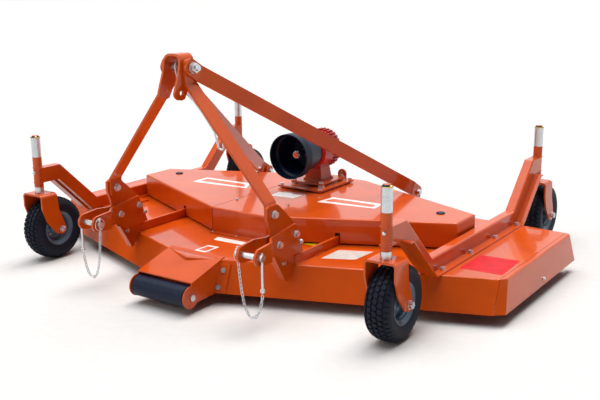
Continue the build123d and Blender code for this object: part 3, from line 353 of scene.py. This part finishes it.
def turf_tyre(name, centre, body, cad_node, turn):
    """A low-pressure turf tyre: a rounded carcass with five staggered rows of tread blocks."""
    half = [(carcass_radius(r, x), x) for r, x in CROWN]
    profile = [(r, -x) for r, x in reversed(half[1:] + BEAD_SEAT)] + half + BEAD_SEAT
    verts = []
    faces = []
    for i in range(CARCASS_STEPS):
        a = 2 * math.pi * i / CARCASS_STEPS
        for r, x in profile:
            verts.append((x * mm, r * mm * math.cos(a), r * mm * math.sin(a)))
    n = len(profile)
    for i in range(CARCASS_STEPS):
        j = (i + 1) % CARCASS_STEPS
        for k in range(n - 1):
            faces.append((i * n + k, i * n + k + 1, j * n + k + 1, j * n + k))
        faces.append((i * n + n - 1, i * n, j * n, j * n + n - 1))
    for x_mid, width, shift in TREAD_ROWS:
        for b in range(BLOCKS_ROUND):
            mid = 2 * math.pi * (b + shift) / BLOCKS_ROUND + turn
            lean = BLOCK_LEAN * (1 if x_mid >= 0 else -1)
            layers = []
            for lift, shrink in BLOCK_LAYERS:
                ring = []
                for u, v in BLOCK_OUTLINE:
                    x = x_mid + u * width * shrink
                    x = max(-TREAD_HALF, min(TREAD_HALF, x))
                    a = mid + (v * shrink + lean * u) * BLOCK_LENGTH
                    r = crown_radius(x) + lift
                    ring.append(len(verts))
                    verts.append((x * mm, r * mm * math.cos(a), r * mm * math.sin(a)))
                layers.append(ring)
            for low, high in zip(layers, layers[1:]):
                for k in range(len(BLOCK_OUTLINE)):
                    m = (k + 1) % len(BLOCK_OUTLINE)
                    faces.append((low[k], low[m], high[m], high[k]))
            faces.append(tuple(layers[-1]))
    obj = mesh_object(name, verts, faces, rubber, True, body)
    obj.data.transform(Matrix.Translation(centre))
    obj.data.set_sharp_from_angle(angle=math.radians(38))
    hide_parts(cad_node)
    return obj


def node_middle(node):
    """The middle of a CAD node's box."""
    low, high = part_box(node)
    return (Vector(low) + Vector(high)) / 2


def lathe(profile, centre, axis, sides=32):
    """A closed profile of (radius, distance) pairs in millimetres, turned round an axis."""
    axis = Vector(axis).normalized()
    side = axis.orthogonal().normalized()
    up = axis.cross(side)
    verts = []
    n = len(profile)
    for i in range(sides):
        a = 2 * math.pi * i / sides
        ray = side * math.cos(a) + up * math.sin(a)
        for r, d in profile:
            verts.append(Vector(centre) + (ray * r + axis * d) * mm)
    faces = []
    for i in range(sides):
        j = (i + 1) % sides
        for k in range(n - 1):
            faces.append((i * n + k, i * n + k + 1, j * n + k + 1, j * n + k))
    faces.append(tuple(i * n for i in range(sides)))
    faces.append(tuple(i * n + n - 1 for i in range(sides)))
    return verts, faces


# A pressed two-piece rim, from the hub's right end over the right lip to the left lip and back.
RIM_RIGHT = [(8.8, 55), (15, 55), (17, 53.5), (17, 20), (19.5, 17), (26, 15), (28, 5), (34, 2), (44, 0.5),
             (49, 5), (54, 6), (57, 12), (58, 22), (60.5, 25), (62, 34), (66, 38.3), (71, 40.5), (74.5, 45),
             (77, 46.5), (79, 45.5), (79.4, 43.4), (77.6, 41.2)]
RIM_BED = [(66, 33), (64, 20), (64, -20), (66, -33)]
RIM_LEFT = [(77.6, -41.2), (79.4, -43.4), (79, -45.5), (77, -46.5), (74.5, -45), (71, -40.5), (66, -38.3),
            (62, -34), (60.5, -25), (58, -22), (57, -16), (54, -11), (49, -10), (44, -5), (34, -6),
            (28, -8), (26, -16), (19.5, -18), (17, -22), (17, -53.5), (15, -55), (8.8, -55)]
RIM_BOLTS = 5
RIM_BOLT_R = 38.5
RIM_BOLT_TURN = 0.3
RIM_BOLT_HEAD = [(8, 0.2), (8, 2), (6.2, 2), (6.2, 6.4), (5.4, 7.2)]
RIM_BOLT_SIDES = ((0.0008, 1), (-0.0052, -1))
VALVE = [(4.6, 0), (4.4, 12), (3.0, 14), (3.0, 17), (4.0, 17), (4.0, 24), (3.4, 25)]
VALVE_FOOT = (0.006, 0.0, 0.0515)


def pressed_rim(name, centre, body, cad_node):
    """A pressed rim with rolled lips and a stepped well, joined by a ring of small bolts."""
    profile = RIM_RIGHT + RIM_BED + RIM_LEFT
    verts, faces = lathe(profile, centre, (1, 0, 0), WHEEL_STEPS)
    faces = faces[:-2]
    n = len(profile)
    for i in range(WHEEL_STEPS):
        j = (i + 1) % WHEEL_STEPS
        faces.append((i * n + n - 1, i * n, j * n, j * n + n - 1))
    rim = mesh_object(name, verts, faces, rim_blue, True, body)
    rim.data.set_sharp_from_angle(angle=math.radians(32))
    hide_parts(cad_node)
    heads = []
    for i in range(RIM_BOLTS):
        a = 2 * math.pi * i / RIM_BOLTS + RIM_BOLT_TURN
        spot = centre + Vector((0, math.cos(a), math.sin(a))) * RIM_BOLT_R * mm
        for offset, way in RIM_BOLT_SIDES:
            heads.append(lathe(RIM_BOLT_HEAD, spot + Vector((offset, 0, 0)), (way, 0, 0), 6))
    bolts = mesh_object(f"{name}_bolts", *merged(heads), zinc, False, body)
    stem = lathe(VALVE, centre + Vector(VALVE_FOOT), (1, 0, -0.12), 16)
    valve = mesh_object(f"{name}_valve", *stem, iron, False, body)


for end in ("front", "rear"):
    for side in ("left", "right"):
        wheel = f"{end}_{side}_tyre"
        middle = node_middle(wheel)
        turf_tyre(f"{end}_{side}_turf_tyre", middle, f"{end}_{side}_wheel", wheel, rng.uniform(0, 0.15))
        pressed_rim(f"{end}_{side}_pressed_rim", middle, f"{end}_{side}_wheel", f"{end}_{side}_rim")


# ---- zinc hardware over the plain heads ------------------------------------------------------
def hex_rings(centre, axis, across, depths):
    """Six-sided rings along an axis; depths are (distance, width factor)."""
    axis = Vector(axis).normalized()
    side = axis.orthogonal().normalized()
    up = axis.cross(side)
    corner = across / 2 / math.cos(math.radians(30))
    verts = []
    for distance, factor in depths:
        for k in range(6):
            a = math.radians(60 * k)
            ray = side * math.cos(a) + up * math.sin(a)
            verts.append(Vector(centre) + axis * distance + ray * corner * factor)
    last = (len(depths) - 1) * 6
    faces = [tuple(range(6)), tuple(last + k for k in range(6))]
    for i in range(len(depths) - 1):
        for k in range(6):
            m = (k + 1) % 6
            faces.append((i * 6 + k, i * 6 + m, (i + 1) * 6 + m, (i + 1) * 6 + k))
    return verts, faces


def nut_and_washer(name, face, axis, across, thick, stub, body):
    """A chamfered nut on a washer, with a stub of thread, standing on a face."""
    washer = across * 0.13
    parts = [lathe([(across * 0.68, 0), (across * 0.68, washer), (across * 0.4, washer)], face, axis)]
    base = Vector(face) + Vector(axis).normalized() * washer * mm
    parts.append(hex_rings(base, axis, across * mm, [(0, 0.96), (0.08 * thick * mm, 1.0),
                                                     (0.86 * thick * mm, 1.0), (thick * mm, 0.9)]))
    if stub:
        turns = [(across * 0.3 * (1 if k % 2 else 0.93), thick - 1 + k * stub / 8) for k in range(9)]
        parts.append(lathe(turns, base, axis, 20))
    obj = mesh_object(name, *merged(parts), zinc, False, body)
    return obj


POST_X = 0.908
POST_Y = 0.737
FORK_FACE = 0.0645
AXLE_ACROSS = 24.8
SPINDLE_TOP = 0.5774
CLIP_Z = 0.5785
CLIP_RING_R = 0.0222
CLIP_WIRE_R = 0.0013
CLIP_GRIP = [(0.017, -0.012), (0.021, -0.014), (0.026, -0.017), (0.029, -0.018)]
CLIP_GRIP_Z = 0.583
CLIP_GRIP_RADII = [0.002, 0.0052, 0.0052, 0.002]
CAP_BAND = [(15.7, 0), (20.6, 0), (20.6, 2.4), (16.2, 2.6), (16.0, 8.4), (15.2, 9.2)]
GREASE_FITTING = [(4.5, 0), (4.5, 3), (6.6, 3), (6.6, 7), (3.4, 8), (3.4, 11), (4.2, 12), (3.0, 14.5)]


def axle_nuts(place, body):
    """The axle bolt's nut outside one fork leg and its head outside the other."""
    axle = node_middle(f"{place}_tyre")
    nut_and_washer(f"{place}_axle_nut", axle + Vector((FORK_FACE, 0, 0)), (1, 0, 0), AXLE_ACROSS, 11.4, 4,
                   body)
    nut_and_washer(f"{place}_axle_head", axle - Vector((FORK_FACE, 0, 0)), (-1, 0, 0), AXLE_ACROSS, 9.6, 0,
                   body)


def post_top(place, x, y, body):
    """The cap over the fork's spindle, with the round clip that keeps the spacers down."""
    band = lathe(CAP_BAND, (x, y, SPINDLE_TOP), (0, 0, 1))
    cap = mesh_object(f"{place}_post_cap", *band, iron, True, body)
    cap.data.set_sharp_from_angle(angle=math.radians(40))
    loop = tube(ring_points((x, y, CLIP_Z), CLIP_RING_R, "z", 40), [CLIP_WIRE_R] * 40, 8, True)
    grip = tube([(x + dx, y + dy, CLIP_GRIP_Z) for dx, dy in CLIP_GRIP], CLIP_GRIP_RADII, 12)
    clip = mesh_object(f"{place}_post_pin", *merged([loop, grip]), yellow_zinc, True, body)


def grease_fitting(place, x, y):
    """A grease nipple in the front of the post tube."""
    fitting = lathe(GREASE_FITTING, (x + 0.004, y - 0.0205, 0.419), (0.18, -1, 0), 20)
    mesh_object(f"{place}_grease_fitting", *fitting, zinc, False)


for end, sy in (("front", -1), ("rear", 1)):
    for side, sx in (("left", -1), ("right", 1)):
        place = f"{end}_{side}"
        axle_nuts(place, f"{place}_caster")
        post_top(place, sx * POST_X, sy * POST_Y, f"{place}_caster")
        grease_fitting(place, sx * POST_X, sy * POST_Y)


# ---- plain vinyl patches ---------------------------------------------------------------------
FILM = 0.25
CORNER_CUT = 0.006


def patch(name, corners, z_mm, finish):
    """A thin four-cornered film with rounded corners, lying flat on a surface."""
    pts = [Vector((x * mm, y * mm, 0)) for x, y in corners]
    outline = []
    for i, p in enumerate(pts):
        before = (pts[i - 1] - p).normalized()
        after = (pts[(i + 1) % 4] - p).normalized()
        for t in (0.0, 0.33, 0.67, 1.0):
            outline.append(p + before * CORNER_CUT * (1 - t) ** 2 + after * CORNER_CUT * t ** 2)
    low = z_mm * mm
    high = (z_mm + FILM) * mm
    verts = [(p.x, p.y, low) for p in outline] + [(p.x, p.y, high) for p in outline]
    n = len(outline)
    faces = [tuple(range(n)), tuple(range(n, 2 * n))]
    faces += [(i, (i + 1) % n, n + (i + 1) % n, n + i) for i in range(n)]
    mesh_object(name, verts, faces, finish, False)


def shrunk(corners, amount):
    """The same four corners drawn in towards their middle."""
    cx = sum(p[0] for p in corners) / 4
    cy = sum(p[1] for p in corners) / 4
    return [(cx + (x - cx) * amount[0], cy + (y - cy) * amount[1]) for x, y in corners]


COVER_TOP = 290.0
DECK_TOP = 177.0
side_patches = {"left": [(-560, -75), (-560, 35), (-290, 50), (-245, -45)],
                "right": [(190, -88), (205, 25), (460, 38), (470, -50)]}
for side, corners in side_patches.items():
    patch(f"{side}_cover_patch", corners, COVER_TOP, white_film)
    patch(f"{side}_cover_patch_band", shrunk(corners, (0.86, 0.5)), COVER_TOP + FILM, orange_film)
patch("cover_notice_patch", [(-60, -100), (-66, -22), (64, 0), (62, -88)], COVER_TOP, white_film)
patch("cover_notice_band", [(10, -26), (6, -12), (64, 0), (64, -14)], COVER_TOP + FILM, red_film)
patch("deck_notice_patch", [(470, -480), (470, -345), (602, -288), (594, -420)], DECK_TOP, grey_film)
patch("deck_notice_band", [(470, -345), (470, -330), (604, -272), (602, -288)], DECK_TOP, orange_film)
small_patch = [(-31, -681), (-28, -587), (30, -584), (28, -673)]
patch("deck_small_patch", small_patch, DECK_TOP, white_film)
patch("deck_small_patch_band", shrunk(small_patch, (0.66, 0.66)), DECK_TOP + FILM, orange_film)
patch("deck_strip_patch", [(-62, -513), (-73, -470), (81, -467), (92, -507)], DECK_TOP, white_film)
patch("deck_yellow_patch", [(292, -352), (330, -318), (372, -318), (372, -352)], DECK_TOP, yellow_film)
patch("deck_red_patch", [(985, -290), (985, -90), (1148, -76), (1156, -280)], DECK_TOP, red_film)


# ---- end cap of the input shaft ----------------------------------------------------------------
stub_end = Vector((0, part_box("input_shaft")[0][1], GEARBOX_AXIS[2]))
stub_disc = mesh_object("input_shaft_end_disc", *lathe([(13.6, -0.4), (13.6, 0.7), (12.8, 1.2)], stub_end,
                                                       (0, -1, 0), 40), orange_film, False, "input_set")


# ---- weld beads ------------------------------------------------------------------------------
POST_BEAD = 2.6
BRACKET_BEAD = 3.0
POST_BEAD_R = 0.0218
POST_ENDS = (0.4385, 0.3695)


def bead(name, runs, size):
    """Weld beads along several runs of points, painted over with the rest."""
    parts = [weld(points, size * mm, closed) for points, closed in runs]
    mesh_object(name, *merged(parts), orange)


def post_welds(side, sx):
    """Rings of weld where the post tubes pass through the beam's ends."""
    runs = [(ring_points((sx * POST_X, sy * POST_Y, z), POST_BEAD_R, "z", 44), True)
            for sy in (-1, 1) for z in POST_ENDS]
    bead(f"{side}_post_welds", runs, POST_BEAD)


def bracket_welds(side, sx):
    """Short runs of weld where the hitch bracket and its rail stand on the deck."""
    inner = sx * 0.414
    outer = sx * 0.428
    rail = sx * 0.4325
    corner = sx * 0.4305
    ends = [((inner, -0.603, 0.1775), (inner, -0.592, 0.1775)),
            ((outer, -0.6005, 0.179), (outer, -0.6005, 0.216)),
            ((rail, -0.598, 0.178), (rail, -0.53, 0.178)),
            ((rail, -0.47, 0.178), (rail, -0.40, 0.178)),
            ((corner, -0.6005, 0.179), (corner, -0.6005, 0.214))]
    bead(f"{side}_bracket_welds", [(line_points(a, b, 0.003), False) for a, b in ends], BRACKET_BEAD)


for side, sx in (("left", -1), ("right", 1)):
    post_welds(side, sx)
    bracket_welds(side, sx)


# ---- floor, light and camera -----------------------------------------------------------------
FLOOR_HALF = 60.0
CAMERA_PLACE = (2.3270, -3.3123, 1.2587)
CAMERA_YAW = 34.64
CAMERA_DIP = 13.93
CAMERA_ROLL = -0.42
CAMERA_LENS = 53.02
SKY_ON_MATT = 0.08
GLOW_IN_FRONT = 0.15
LAMPS = [("key", (0.2, 2.6, 5.6), 30, 1.9, "#fff8f0"),
         ("top", (-1.0, -0.6, 6.0), 60, 2.9, "#ffffff"),
         ("front", (-3.2, -5.0, 3.0), 40, 0.7, "#fff6ec")]


def floor_plane():
    """A wide plain sheet of pale studio paper."""
    mesh = bpy.data.meshes.new("studio_floor")
    far = FLOOR_HALF
    mesh.from_pydata([(-far, -far, 0), (far, -far, 0), (far, far, 0), (-far, far, 0)], [], [(0, 1, 2, 3)])
    obj = bpy.data.objects.new("studio_floor", mesh)
    bpy.context.collection.objects.link(obj)
    mat, shader = start_material("pale_studio_paper", Roughness=0.85)
    place = add(mat, "ShaderNodeTexCoord").outputs["Object"]
    fibre = add(mat, "ShaderNodeTexNoise", {"Scale": per_metre(40), "Detail": 3.0}, {"Vector": place})
    tone = ramp(mat, fibre.outputs["Fac"], [(0.2, linear("#cdcdcd")), (0.8, linear("#d3d3d3"))])
    mat.node_tree.links.new(tone.outputs["Color"], shader.inputs["Base Color"])
    mesh.materials.append(mat)


def sun_and_sky():
    """A white studio: its glow shows whole in the paint's gloss and softer on plain surfaces."""
    world = bpy.data.worlds.new("soft_studio")
    bpy.context.scene.world = world
    world.use_nodes = True
    back = world.node_tree.nodes["Background"]
    path = add(world, "ShaderNodeLightPath")
    heading = add(world, "ShaderNodeSeparateXYZ",
                  links={"Vector": add(world, "ShaderNodeTexCoord").outputs["Generated"]})
    glow = add(world, "ShaderNodeMapRange", {"From Min": -0.3, "From Max": 0.6, "To Min": GLOW_IN_FRONT,
                                             "To Max": 1.0}, {"Value": heading.outputs["Y"]})
    shaded = add(world, "ShaderNodeMapRange", {"To Max": SKY_ON_MATT},
                 {"Value": path.outputs["Is Diffuse Ray"], "To Min": glow.outputs["Result"]})
    level = add(world, "ShaderNodeMapRange", {"To Max": 1.0},
                {"Value": path.outputs["Is Camera Ray"], "To Min": shaded.outputs["Result"]})
    back.inputs["Color"].default_value = linear("#fdfdff")
    world.node_tree.links.new(level.outputs["Result"], back.inputs["Strength"])
    for name, place, spread, power, colour in LAMPS:
        lamp = bpy.data.lights.new(name, "SUN")
        lamp.angle = math.radians(spread)
        lamp.energy = power
        lamp.color = linear(colour)[:3]
        obj = bpy.data.objects.new(name, lamp)
        obj.location = place
        obj.rotation_euler = (-Vector(place)).to_track_quat("-Z", "Y").to_euler()
        bpy.context.collection.objects.link(obj)
    bpy.context.scene.view_settings.view_transform = "Standard"


def camera():
    """A long-lens view from the right front corner, a little above the machine."""
    data = bpy.data.cameras.new("camera")
    data.sensor_width = 36.0
    data.lens = CAMERA_LENS
    data.clip_end = FLOOR_HALF
    obj = bpy.data.objects.new("camera", data)
    aim = (Matrix.Rotation(math.radians(CAMERA_YAW), 4, "Z")
           @ Matrix.Rotation(math.radians(90 - CAMERA_DIP), 4, "X")
           @ Matrix.Rotation(math.radians(CAMERA_ROLL), 4, "Z"))
    obj.matrix_world = Matrix.Translation(CAMERA_PLACE) @ aim
    bpy.context.collection.objects.link(obj)
    bpy.context.scene.camera = obj


floor_plane()
sun_and_sky()
camera()
